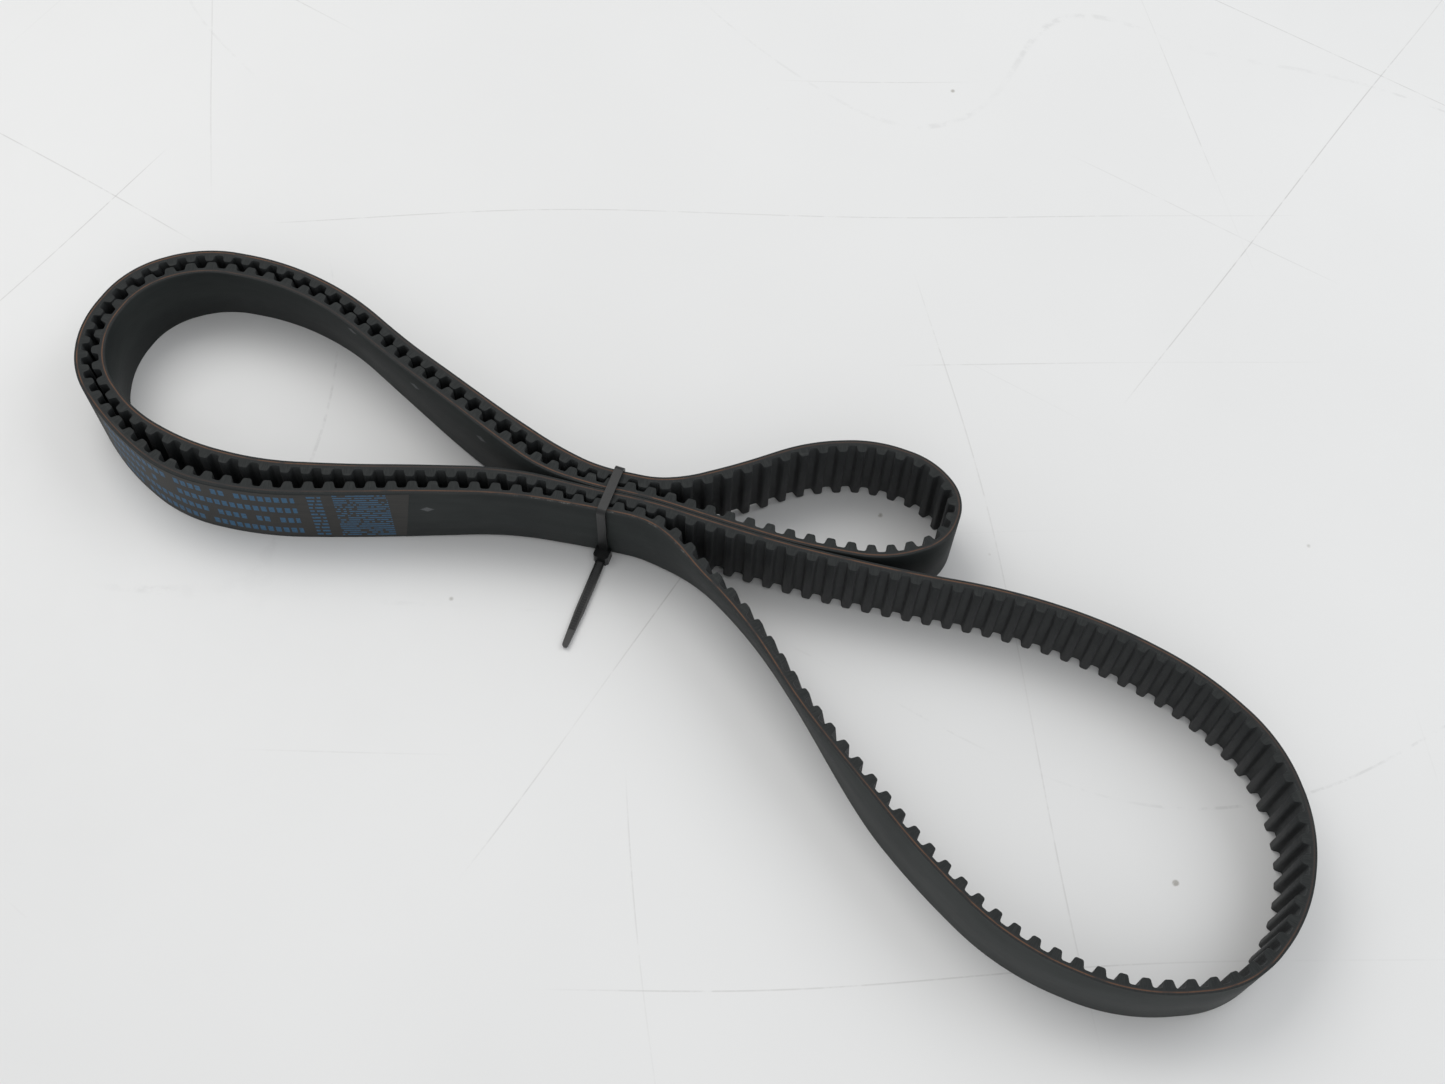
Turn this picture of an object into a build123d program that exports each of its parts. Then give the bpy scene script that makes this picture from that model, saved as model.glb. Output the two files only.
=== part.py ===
"""A closed toothed drive belt, doubled over on itself and held at its waist by a cable tie.

The belt stands on its edge: X runs along the bundle, Y across it and Z along the belt's width.
Every layer of the belt follows one route, the centre line of its tension cords. The route is a
closed chain of straight runs and tangent arcs, and the belt's teeth are on its left.
"""

from build123d import *
import bisect
import math
import os

# ---- the belt's own sizes, in mm ----
belt_width = 32.0
tooth_pitch = 8.0
tooth_height = 3.0
tooth_base = 0.60 * tooth_pitch
tooth_tip = 0.3875 * tooth_pitch
tip_radius = 0.8
back_rubber_thickness = 0.7
cord_thickness = 0.9
gum_thickness = 0.45
fabric_thickness = 0.35
cord_spacing = 1.93

# ---- how the strands lie against each other ----
strand_clearance = 0.15
tooth_interlock = 1.3
tooth_lead = 0.05 * tooth_pitch
waist_half_length = 12.0
waist_angle = -10.0
bend_share = 0.48

# ---- the printed band on the back ----
band_end_gap = 80.0
band_length = 137.0
band_thickness = 0.08
band_margin = 1.2

# ---- the cable tie's sizes ----
strap_width = 3.6
strap_thickness = 1.1
strap_clearance = 0.3
strap_bend_radius = 0.9
tie_along = -4.0
tie_angle = 16.0
tail_length = 39.0
tail_taper_length = 16.0
tail_tip_width = 2.3
tail_tip_round = 0.45
head_width = 6.2
head_depth = 4.8
head_height = 5.6
head_floor = 0.7
head_chamfer = 0.9
slot_clearance = 0.15
ratchet_pitch = 1.1
ratchet_run = 0.88
ratchet_depth = 0.35
ratchet_width = 2.2
ratchet_end_gap = 7.0

# ---- the pawl inside the tie's head ----
pawl_width = 2.4
pawl_thickness = 0.95
pawl_hinge_radius = 0.5
pawl_clearance = 0.2
pawl_hinge_inset = 1.25
pawl_hinge_height = 4.0
pawl_tip_inset = 3.55
pawl_tip_clearance = 0.12

# ---- sizes that follow from the ones above ----
land_thickness = back_rubber_thickness + cord_thickness + gum_thickness + fabric_thickness
belt_thickness = land_thickness + tooth_height
cord_to_back = back_rubber_thickness + cord_thickness / 2
cord_to_tip = belt_thickness - cord_to_back
cord_to_land = land_thickness - cord_to_back
cord_to_gum = cord_thickness / 2
cord_count = round(belt_width / cord_spacing)
cord_step = belt_width / cord_count
inner_lane = strand_clearance / 2 + cord_to_back
outer_lane = inner_lane + 2 * cord_to_tip - tooth_interlock
bundle_half = outer_lane + cord_to_back
strap_bottom = head_floor + slot_clearance
belt_bottom = strap_bottom + strap_thickness + strap_clearance
belt_top = belt_bottom + belt_width

# ---- the route's points, chosen by hand, in mm from the middle of the waist ----
# Left loop: the line between its two layers of belt, and the gap between their tooth tips.
left_loop = [
    (-30, 14.5, 1.8),
    (-60, 35.5, 0.8),
    (-117.5, 86.5, 0.6),
    (-146.5, 100.5, 0.6),
    (-179, 105.5, 0.6),
    (-205, 94, 0.6),
    (-216.5, 69, 0.8),
    (-215, 44, 1.5),
    (-198, 21, 4.0),
    (-173, 4.5, 8.5),
    (-141, -2, 7.3),
    (-94, -0.5, 5.2),
    (-45, 3, 1.5),
]
slack_stations = range(8, 12)

# Right side: the large loop from the near strand round to the middle, and the small loop.
large_loop = [
    (24, -19),
    (52, -47),
    (82, -93),
    (112, -133),
    (146, -166),
    (188, -181.5),
    (228, -176),
    (249.5, -150.5),
    (256, -119),
    (246.5, -87),
    (220.5, -61.5),
    (186, -43.5),
    (149.5, -32.5),
    (108, -26.5),
    (70, -19.5),
    (40, -12),
]
small_loop = [
    (103, -21),
    (126, -12),
    (132.5, 7),
    (120.5, 23),
    (98, 30.5),
    (72, 27.5),
    (45, 15),
    (26, 8),
]
reach_start = 150.0
reach_span = 100.0


def direction(start, end):
    """The unit vector from start to end."""
    length = math.dist(start, end)
    return (end[0] - start[0]) / length, (end[1] - start[1]) / length


def waist_point(across, along):
    """A point of the waist, from its middle: across towards the far side, and along it."""
    angle = math.radians(waist_angle)
    return (
        along * math.cos(angle) - across * math.sin(angle),
        along * math.sin(angle) + across * math.cos(angle),
    )


def beside(points, distances):
    """The inner corners of the chain that runs each distance to the left of the points."""
    moved = []
    for before, point, after, distance in zip(points, points[1:], points[2:], distances):
        first = direction(before, point)
        second = direction(point, after)
        scale = distance / (1 + first[0] * second[0] + first[1] * second[1])
        moved.append(
            (
                point[0] - (first[1] + second[1]) * scale,
                point[1] + (first[0] + second[0]) * scale,
            )
        )
    return moved


def route_points(slack, reach):
    """The route's corners, with the left loop's layers apart by slack and the large loop longer."""
    half = waist_half_length
    middle_lane = (inner_lane + outer_lane) / 2
    guide = [waist_point(middle_lane, -half)]
    guide += [(x, y) for x, y, gap in left_loop]
    guide += [waist_point(-middle_lane, -half)]
    spacings = []
    for number, (x, y, gap) in enumerate(left_loop):
        wider = slack if number in slack_stations else 0
        spacings.append(cord_to_tip + (gap + wider) / 2)
    outer_layer = beside(guide, [-spacing for spacing in spacings])
    inner_layer = beside(guide, spacings)
    large = [(x + reach * max(0, (x - reach_start) / reach_span), y) for x, y in large_loop]
    middle_run = [waist_point(-inner_lane, half)] + large[:-4:-1]
    small_start = beside(middle_run, [2 * cord_to_back + strand_clearance] * 2)
    return [
        waist_point(outer_lane, half),
        waist_point(outer_lane, -half),
        *outer_layer,
        waist_point(-outer_lane, -half),
        waist_point(-outer_lane, half),
        *large,
        waist_point(-inner_lane, half),
        waist_point(-inner_lane, -half),
        *inner_layer[::-1],
        waist_point(inner_lane, -half),
        waist_point(inner_lane, half),
        *small_start,
        *small_loop,
    ]


class Route:
    """The closed chain of tangent arcs and straight runs inside the given corners."""

    def __init__(self, points):
        self.pieces = []
        arcs = []
        for number, corner in enumerate(points):
            before = points[number - 1]
            after = points[(number + 1) % len(points)]
            into = direction(before, corner)
            out = direction(corner, after)
            turn = math.atan2(
                into[0] * out[1] - into[1] * out[0], into[0] * out[0] + into[1] * out[1]
            )
            tangent = bend_share * min(math.dist(before, corner), math.dist(corner, after))
            start = (corner[0] - into[0] * tangent, corner[1] - into[1] * tangent)
            end = (corner[0] + out[0] * tangent, corner[1] + out[1] * tangent)
            radius = tangent / math.tan(turn / 2)
            arcs.append((start, end, math.atan2(into[1], into[0]), turn, radius))
        for number, arc in enumerate(arcs):
            start, end, heading, turn, radius = arc
            self.pieces.append((start, heading, turn, radius, turn * radius))
            next_start = arcs[(number + 1) % len(arcs)][0]
            self.pieces.append((end, heading + turn, 0, 0, math.dist(end, next_start)))
        self.marks = [0]
        for piece in self.pieces:
            self.marks.append(self.marks[-1] + piece[4])
        self.length = self.marks[-1]

    def at(self, number, onward, aside=0.0):
        """The point onward along one piece of the chain and aside to its left, and the heading."""
        (x, y), heading, turn, radius, length = self.pieces[number]
        if turn:
            angle = heading + onward / radius
            x += radius * (math.sin(angle) - math.sin(heading))
            y -= radius * (math.cos(angle) - math.cos(heading))
        else:
            angle = heading
            x += onward * math.cos(heading)
            y += onward * math.sin(heading)
        return x - aside * math.sin(angle), y + aside * math.cos(angle), angle

    def place(self, distance, aside=0.0):
        """The point at a distance along the route and aside to its left, and the heading there."""
        distance %= self.length
        number = min(bisect.bisect_right(self.marks, distance) - 1, len(self.pieces) - 1)
        return self.at(number, distance - self.marks[number], aside)

    def waist_crossing(self, corner_number):
        """The distance at which the straight run after a corner crosses the middle of the waist."""
        number = 2 * corner_number + 1
        x, y = self.pieces[number][0]
        angle = math.radians(waist_angle)
        return self.marks[number] + abs(x * math.cos(angle) + y * math.sin(angle))


def waist_crossings(route):
    """Where the four strands cross the waist: far outer, near outer, near inner, far inner."""
    far_outer = 0
    near_outer = far_outer + len(left_loop) + 2
    near_inner = near_outer + len(large_loop) + 2
    far_inner = near_inner + len(left_loop) + 2
    return [route.waist_crossing(n) for n in (far_outer, near_outer, near_inner, far_inner)]


def settle_route():
    """The route on which the teeth close on whole pitches and interlock at the waist.

    The left loop's outer layer is longer than its inner one by whole pitches, which sets the
    slack between them, and the whole route is whole pitches long, which sets the reach.
    """

    def extra_pitches(slack, reach):
        marks = waist_crossings(Route(route_points(slack, reach)))
        return ((marks[1] - marks[0]) - (marks[3] - marks[2])) / tooth_pitch

    def all_pitches(slack, reach):
        return Route(route_points(slack, reach)).length / tooth_pitch

    slack = 0.0
    reach = 0.0
    nudge = 0.1
    extra_wanted = round(extra_pitches(slack, reach))
    for attempt in range(8):
        extra = extra_pitches(slack, reach)
        slope = (extra_pitches(slack + nudge, reach) - extra) / nudge
        slack -= (extra - extra_wanted) / slope
        total = all_pitches(slack, reach)
        total_wanted = round(total) if attempt == 0 else total_wanted
        slope = (all_pitches(slack, reach + nudge) - total) / nudge
        reach -= (total - total_wanted) / slope
    return Route(route_points(slack, reach)), total_wanted


route, tooth_count = settle_route()
far_outer_mark, near_outer_mark, near_inner_mark, far_inner_mark = waist_crossings(route)
tooth_step = route.length / tooth_count
first_tooth = (far_outer_mark + far_inner_mark - tooth_step / 2 - tooth_lead) / 2


def back_middle():
    """The middle, in X and Y, of the box round the belt's back."""
    steps = 40 * tooth_count
    places = [route.place(route.length * n / steps, -cord_to_back) for n in range(steps)]
    return [(min(p[axis] for p in places) + max(p[axis] for p in places)) / 2 for axis in (0, 1)]


# The part's origin is under the middle of its box, so the waist's middle is off to one side.
middle_x, middle_y = back_middle()


def in_part(x, y):
    """A point measured from the waist's middle, in the part's own frame."""
    return x - middle_x, y - middle_y


def side_edges(aside, start=0.0, end=None):
    """The edges that run aside to the left of the route, from one distance to another."""
    end = route.length if end is None else end
    edges = []
    for number, mark in enumerate(route.marks[:-1]):
        low = max(start, mark) - mark
        high = min(end, route.marks[number + 1]) - mark
        if high - low < 1e-6:
            continue
        points = [in_part(*route.at(number, n, aside)[:2]) for n in (low, (low + high) / 2, high)]
        if route.pieces[number][2]:
            edges.append(Edge.make_three_point_arc(*points))
        else:
            edges.append(Edge.make_line(points[0], points[2]))
    return edges


def rounded_corner(before, corner, after, radius):
    """The start, middle and end of the arc of a radius that rounds a corner."""
    into = direction(before, corner)
    out = direction(corner, after)
    turn = math.atan2(into[0] * out[1] - into[1] * out[0], into[0] * out[0] + into[1] * out[1])
    tangent = radius * math.tan(abs(turn) / 2)
    start = (corner[0] - into[0] * tangent, corner[1] - into[1] * tangent)
    end = (corner[0] + out[0] * tangent, corner[1] + out[1] * tangent)
    depth = radius / math.cos(turn / 2) - radius
    inward = (out[0] - into[0], out[1] - into[1])
    scale = depth / math.hypot(*inward)
    return start, (corner[0] + inward[0] * scale, corner[1] + inward[1] * scale), end


def tooth_edges():
    """The closed chain of edges along the belt's toothed side.

    A tooth is a trapezoid with rounded tips. Its land is a short straight line to the next.
    """
    corners = [(-tooth_base / 2, cord_to_land), (-tooth_tip / 2, cord_to_tip)]
    corners += [(-u, v) for u, v in corners[::-1]]
    arcs = [rounded_corner(*corners[n : n + 3], tip_radius) for n in (0, 1)]
    chain = []
    for number in range(tooth_count):
        x, y, angle = route.place(first_tooth + number * tooth_step)
        sine, cosine = math.sin(angle), math.cos(angle)
        for arc in ([corners[0]], *arcs, [corners[3]]):
            turned = [(u * cosine - v * sine, u * sine + v * cosine) for u, v in arc]
            chain.append([in_part(x + across_x, y + across_y) for across_x, across_y in turned])
    edges = []
    for number, points in enumerate(chain):
        edges.append(Edge.make_line(chain[number - 1][-1], points[0]))
        if len(points) == 3:
            edges.append(Edge.make_three_point_arc(*points))
    return edges


def save(builder, name):
    """Labels a finished piece and writes it to its own file."""
    builder.part.label = name
    export_step(builder.part, f"parts/{name}.step")


os.makedirs("parts", exist_ok=True)

# ---- backing rubber: the smooth back of the belt ----
with BuildPart() as back_rubber:
    with BuildSketch(Plane.XY.offset(belt_bottom)):
        make_face(side_edges(-cord_to_back))
        make_face(side_edges(-cord_to_gum), mode=Mode.SUBTRACT)
    extrude(amount=belt_width)
save(back_rubber, "back_rubber")

# ---- tension cords: one closed turn each, side by side from edge to edge of the belt ----
for number in range(cord_count):
    with BuildPart() as tension_cord:
        with BuildSketch(Plane.XY.offset(belt_bottom + number * cord_step)):
            make_face(side_edges(-cord_to_gum))
            make_face(side_edges(cord_to_gum), mode=Mode.SUBTRACT)
        extrude(amount=cord_step)
    save(tension_cord, f"tension_cord_{number + 1:02d}")

# ---- tooth rubber: a thin layer against the cords with the fabric-faced teeth standing on it ----
with BuildPart() as tooth_rubber:
    with BuildSketch(Plane.XY.offset(belt_bottom)):
        make_face(side_edges(cord_to_gum))
        make_face(tooth_edges(), mode=Mode.SUBTRACT)
    extrude(amount=belt_width)
save(tooth_rubber, "tooth_rubber")

# ---- printed band: a thin film on the back of the left loop's near side ----
band_end_mark = near_outer_mark - band_end_gap
band_start_mark = band_end_mark - band_length
with BuildPart() as printed_band:
    with BuildSketch(Plane.XY.offset(belt_bottom + band_margin)):
        film_out = cord_to_back + band_thickness
        ends = []
        for mark in (band_start_mark, band_end_mark):
            inside = in_part(*route.place(mark, -cord_to_back)[:2])
            outside = in_part(*route.place(mark, -film_out)[:2])
            ends.append(Edge.make_line(inside, outside))
        inner = side_edges(-cord_to_back, band_start_mark, band_end_mark)
        outer = side_edges(-film_out, band_start_mark, band_end_mark)
        make_face([*inner, *outer, *ends])
    extrude(amount=belt_width - 2 * band_margin)
save(printed_band, "printed_band")

# ---- cable tie: head, strap and tail in one moulding, in an upright plane across the waist ----
skew = math.radians(tie_angle + waist_angle)
strap_half = bundle_half / math.cos(skew) + strap_width / 2 * math.tan(skew) + strap_clearance
strap_top = strap_bottom + strap_thickness
tail_end = strap_half + head_depth + tail_length
outward = (-math.sin(math.radians(tie_angle)), -math.cos(math.radians(tie_angle)), 0)
tie_x, tie_y = in_part(*waist_point(0, tie_along))
tie_side = Plane(origin=(tie_x, tie_y, 0), x_dir=outward, z_dir=(outward[1], -outward[0], 0))
tie_plan = Plane(origin=(tie_x, tie_y, strap_bottom), x_dir=outward, z_dir=(0, 0, 1))
strap_end = strap_half + head_depth
cavity_top = pawl_hinge_height + pawl_hinge_radius + 2 * pawl_clearance
cavity_start = strap_half + pawl_hinge_inset - pawl_hinge_radius - pawl_clearance
cavity_end = strap_half + pawl_tip_inset + 3 * pawl_clearance
ratchet_start = strap_half + ratchet_pitch
ratchet_count = int((tail_end - ratchet_end_gap - ratchet_start) / ratchet_pitch)

with BuildPart() as cable_tie:
    with BuildSketch(tie_side):
        with Locations((strap_half, 0)):
            Rectangle(head_depth, head_height, align=(Align.MIN, Align.MIN))
    extrude(amount=head_width / 2, both=True)
    upright_edges = cable_tie.edges().filter_by(Axis.Z)
    outer_edges = upright_edges.sort_by_distance((tie_x, tie_y, 0), reverse=True)[:2]
    chamfer(outer_edges, length=head_chamfer)
    with BuildSketch(tie_side):
        with Locations((strap_half, strap_bottom - slot_clearance)):
            Rectangle(
                head_depth, strap_thickness + 2 * slot_clearance, align=(Align.MIN, Align.MIN)
            )
    extrude(amount=strap_width / 2 + slot_clearance, both=True, mode=Mode.SUBTRACT)
    with BuildSketch(tie_side):
        with Locations((cavity_start, strap_top)):
            Rectangle(
                cavity_end - cavity_start, cavity_top - strap_top, align=(Align.MIN, Align.MIN)
            )
    extrude(amount=pawl_width / 2 + pawl_clearance, both=True, mode=Mode.SUBTRACT)
    with BuildSketch(tie_side):
        inner_top = belt_top + strap_clearance
        with BuildLine():
            outside = FilletPolyline(
                (strap_half + strap_thickness, head_height - head_floor),
                (strap_half + strap_thickness, inner_top + strap_thickness),
                (-strap_half - strap_thickness, inner_top + strap_thickness),
                (-strap_half - strap_thickness, strap_bottom),
                (strap_end, strap_bottom),
                radius=strap_bend_radius + strap_thickness,
            )
            inside = FilletPolyline(
                (strap_half, head_height - head_floor),
                (strap_half, inner_top),
                (-strap_half, inner_top),
                (-strap_half, strap_top),
                (strap_end, strap_top),
                radius=strap_bend_radius,
            )
            Line(outside @ 0, inside @ 0)
            Line(outside @ 1, inside @ 1)
        make_face()
    extrude(amount=strap_width / 2, both=True)
    with BuildSketch(tie_plan):
        taper_start = tail_end - tail_taper_length
        with BuildLine():
            Polyline(
                (strap_end, -strap_width / 2),
                (taper_start, -strap_width / 2),
                (tail_end, -tail_tip_width / 2),
                (tail_end, tail_tip_width / 2),
                (taper_start, strap_width / 2),
                (strap_end, strap_width / 2),
                close=True,
            )
        tail_outline = make_face()
        tail_corners = tail_outline.vertices().sort_by_distance((strap_end, 0), reverse=True)[:2]
        fillet(tail_corners, radius=tail_tip_width * tail_tip_round)
    extrude(amount=strap_thickness)
    with BuildSketch(tie_side):
        for number in range(ratchet_count):
            with Locations((ratchet_start + number * ratchet_pitch, strap_top)):
                Polygon((0, 0), (ratchet_run, 0), (ratchet_run, -ratchet_depth), align=None)
    extrude(amount=ratchet_width / 2, both=True, mode=Mode.SUBTRACT)
save(cable_tie, "cable_tie")

# ---- pawl: the tongue in the head, on its thin hinge at the slot's way in ----
hinge_x = strap_half + pawl_hinge_inset
tip_x = strap_half + pawl_tip_inset
foot = strap_top + pawl_tip_clearance
with BuildPart() as tie_pawl:
    with BuildSketch(tie_side):
        with Locations((hinge_x, pawl_hinge_height)):
            Circle(pawl_hinge_radius)
        with BuildLine():
            Polyline(
                (hinge_x, pawl_hinge_height + pawl_hinge_radius),
                (tip_x, foot + pawl_thickness),
                (tip_x, foot),
                (tip_x - pawl_thickness, foot),
                (hinge_x - pawl_hinge_radius, pawl_hinge_height),
                close=True,
            )
        make_face()
    extrude(amount=pawl_width / 2, both=True)
save(tie_pawl, "tie_pawl")

hinge = tie_side.from_local_coords(Vector(hinge_x, pawl_hinge_height, 0))
print("teeth", tooth_count, "step", round(tooth_step, 4), "cords", cord_count)
print("pawl hinge", [round(value, 3) for value in hinge], "axis", tie_side.z_dir)
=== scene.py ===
import bisect
import math

import bpy
import numpy as np
from bpy.props import FloatProperty, FloatVectorProperty, IntProperty, PointerProperty
from bpy.types import Operator, Panel, PropertyGroup
from mathutils import Matrix, Vector


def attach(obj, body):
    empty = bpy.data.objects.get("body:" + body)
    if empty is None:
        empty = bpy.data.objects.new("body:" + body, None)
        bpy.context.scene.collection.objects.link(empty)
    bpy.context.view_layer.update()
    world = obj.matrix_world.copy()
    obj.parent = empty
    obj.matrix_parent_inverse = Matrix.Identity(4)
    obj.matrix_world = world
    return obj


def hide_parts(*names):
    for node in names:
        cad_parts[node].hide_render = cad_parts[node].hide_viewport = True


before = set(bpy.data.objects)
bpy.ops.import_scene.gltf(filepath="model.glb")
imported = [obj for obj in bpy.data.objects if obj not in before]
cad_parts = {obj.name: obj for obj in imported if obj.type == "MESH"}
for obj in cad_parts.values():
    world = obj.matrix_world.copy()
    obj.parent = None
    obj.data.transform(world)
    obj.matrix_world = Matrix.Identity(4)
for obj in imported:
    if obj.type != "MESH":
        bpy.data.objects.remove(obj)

bl_info = {
    "name": "Bundled timing belt",
    "version": (1, 0, 0),
    "blender": (4, 5, 0),
    "location": "View3D > Sidebar > Belt",
    "description": "Builds a toothed belt doubled over and held by a cable tie",
    "category": "Add Mesh",
}

MM = 0.001

# ---- the belt's layers, in mm from the centre line of its cords: teeth positive, back negative ----
WIDTH = 32.0
PITCH = 8.0
BACK = -1.15
CORD = 0.45
LAND = 1.25
TIP = 4.25
TOOTH_BASE = 0.60 * PITCH
TOOTH_TIP = 0.3875 * PITCH
ROOT_RADIUS = 0.9
TIP_RADIUS = 1.0
CORD_COUNT = 17
WARP_SPACING, WEFT_SPACING, TWILL_SLANT = 0.62, 0.5, 3.1

# ---- how the strands lie ----
CLEARANCE = 0.15
INTERLOCK = 1.3
TOOTH_LEAD = 0.05 * PITCH
WAIST_HALF = 12.0
WAIST_ANGLE = math.radians(-10.0)
BEND_SHARE = 0.48
BELT_BOTTOM = 2.25
INNER_LANE = CLEARANCE / 2 - BACK
OUTER_LANE = INNER_LANE + 2 * TIP - INTERLOCK

# ---- the route's stations, in mm from the middle of the waist; the left loop's also say how far
# apart its two layers' teeth are, and some of them take up its slack ----
LEFT_LOOP = [
    (-30, 14.5, 1.8),
    (-60, 35.5, 0.8),
    (-117.5, 86.5, 0.6),
    (-146.5, 100.5, 0.6),
    (-179, 105.5, 0.6),
    (-205, 94, 0.6),
    (-216.5, 69, 0.8),
    (-215, 44, 1.5),
    (-198, 21, 4.0),
    (-173, 4.5, 8.5),
    (-141, -2, 7.3),
    (-94, -0.5, 5.2),
    (-45, 3, 1.5),
]
SLACK_STATIONS = range(8, 12)
LARGE_LOOP = [
    (24, -19),
    (52, -47),
    (82, -93),
    (112, -133),
    (146, -166),
    (188, -181.5),
    (228, -176),
    (249.5, -150.5),
    (256, -119),
    (246.5, -87),
    (220.5, -61.5),
    (186, -43.5),
    (149.5, -32.5),
    (108, -26.5),
    (70, -19.5),
    (40, -12),
]
SMALL_LOOP = [
    (103, -21),
    (126, -12),
    (132.5, 7),
    (120.5, 23),
    (98, 30.5),
    (72, 27.5),
    (45, 15),
    (26, 8),
]
REACH_START = 150.0
REACH_SPAN = 100.0

# ---- solving the route, and finding the middle of its outline ----
ATTEMPTS = 8
NUDGE = 0.1
OUTLINE_STEPS = 40

# ---- the near strand's lean: the share of the height that stays put, and where past the tie it
# grows and fades, in mm along the belt ----
LEAN_PIVOT = 0.6
LEAN_GROWS = (12, 46)
LEAN_FADES = (95, 160)

# ---- the left loop's lean at the top edge, in mm, and the stretches of x and y where it grows ----
LOOP_LEAN_GROWS = (40, 90)
LEAN_ALONG = 2.0
LEAN_ALONG_GROWS = (20, 80)
NEAR_LEAN_IN = 1.6
FAR_LEAN_IN = 3.4
LEAN_IN_TURNS = (10, 85)

# ---- the sag from the tie's strap to the ground, by distance from the waist ----
SAG_GROWS = (22, 125)

# ---- the printed band on the back ----
BAND_END_GAP = 80.0
BAND_LENGTH = 137.0
BAND_THICKNESS = 0.08
BAND_FOOT = 0.01
BAND_MARGIN = 1.2

# ---- the print: rows counted from the foot, areas from the band's start or its end, in mm ----
BAR_ROW_FOOT, BAR_ROW_PITCH, BAR_PITCH = 1.6, 7.2, 3.1
BARS_START, BARS_END = 4.0, 45.0
SHORT_ROW_FOOT, SHORT_ROW_PITCH = 1.4, 2.4
COLUMN_START, COLUMN_MIDDLE, COLUMN_END = 40.0, 37.2, 34.5
FINE_ROW_PITCH, DASH_PITCH = 1.55, 1.1
BLOCK_START, BLOCK_END = 30.0, 9.0

# ---- pale diamond-shaped flecks on the back, by distance from a waist crossing and height, in mm ----
NEAR_FLECKS = [(-74.5, 20.0)]
FAR_FLECKS = [(-101.8, 23.0), (-64.4, 22.0), (-137.9, 28.0)]
FLECK_LENGTH = 3.4
FLECK_HEIGHT = 2.0

# ---- the stretch of the back painted lighter as painted light, in mm past the waist: nothing to full, and back to nothing ----
PAINTED_LIGHT_STARTS = (70.0, 190.0)
PAINTED_LIGHT_ENDS = (420.0, 300.0)

# ---- the scuffed stretch of the cut edges: how far from the tie it ends and is full, in mm ----
SCUFFS = (46.0, 30.0)

# ---- the table's scratches: slant, then spacing and shift in m, and strength ----
TABLE_SCRATCHES = [
    (math.radians(-4), 0.083, 0.011, 0.35),
    (math.radians(-57), 0.107, 0.052, 0.5),
    (math.radians(31), 0.131, 0.027, 0.4),
    (math.radians(78), 0.149, 0.090, 0.3),
]
TABLE_SIZE = 6.0

# ---- the lamps: name, place and size in m, share of the main lamp's power, and colour ----
LAMPS = [
    ("key", (-0.7, 0.75, 1.5), 1.1, 1.0, (1.0, 0.985, 0.96)),
    ("window", (1.0, 0.5, 1.1), 0.9, 0.45, (0.96, 0.98, 1.0)),
    ("front", (0.2, -1.3, 1.2), 0.9, 0.22, (1.0, 1.0, 1.0)),
]


def direction(start, end):
    """The unit vector from start to end."""
    length = math.dist(start, end)
    return (end[0] - start[0]) / length, (end[1] - start[1]) / length


def waist_point(across, along):
    """A point of the waist: across towards the far side, and along it."""
    sine, cosine = math.sin(WAIST_ANGLE), math.cos(WAIST_ANGLE)
    return along * cosine - across * sine, along * sine + across * cosine


def beside(points, distances):
    """The inner corners of the chain that runs each distance to the left of the points."""
    moved = []
    for before, point, after, distance in zip(points, points[1:], points[2:], distances):
        first = direction(before, point)
        second = direction(point, after)
        scale = distance / (1 + first[0] * second[0] + first[1] * second[1])
        across = -(first[1] + second[1]) * scale, (first[0] + second[0]) * scale
        moved.append((point[0] + across[0], point[1] + across[1]))
    return moved


def route_points(slack, reach):
    """The route's corners, with the left loop's layers apart by slack and the large loop longer."""
    half = WAIST_HALF
    middle_lane = (INNER_LANE + OUTER_LANE) / 2
    guide = [waist_point(middle_lane, -half)]
    guide += [(x, y) for x, y, gap in LEFT_LOOP]
    guide += [waist_point(-middle_lane, -half)]
    spacings = []
    for number, (x, y, gap) in enumerate(LEFT_LOOP):
        wider = slack if number in SLACK_STATIONS else 0
        spacings.append(TIP + (gap + wider) / 2)
    outer_layer = beside(guide, [-spacing for spacing in spacings])
    inner_layer = beside(guide, spacings)
    large = [(x + reach * max(0, (x - REACH_START) / REACH_SPAN), y) for x, y in LARGE_LOOP]
    middle_run = [waist_point(-INNER_LANE, half)] + large[:-4:-1]
    return [
        waist_point(OUTER_LANE, half),
        waist_point(OUTER_LANE, -half),
        *outer_layer,
        waist_point(-OUTER_LANE, -half),
        waist_point(-OUTER_LANE, half),
        *large,
        waist_point(-INNER_LANE, half),
        waist_point(-INNER_LANE, -half),
        *inner_layer[::-1],
        waist_point(INNER_LANE, -half),
        waist_point(INNER_LANE, half),
        *beside(middle_run, [CLEARANCE - 2 * BACK] * 2),
        *SMALL_LOOP,
    ]


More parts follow.
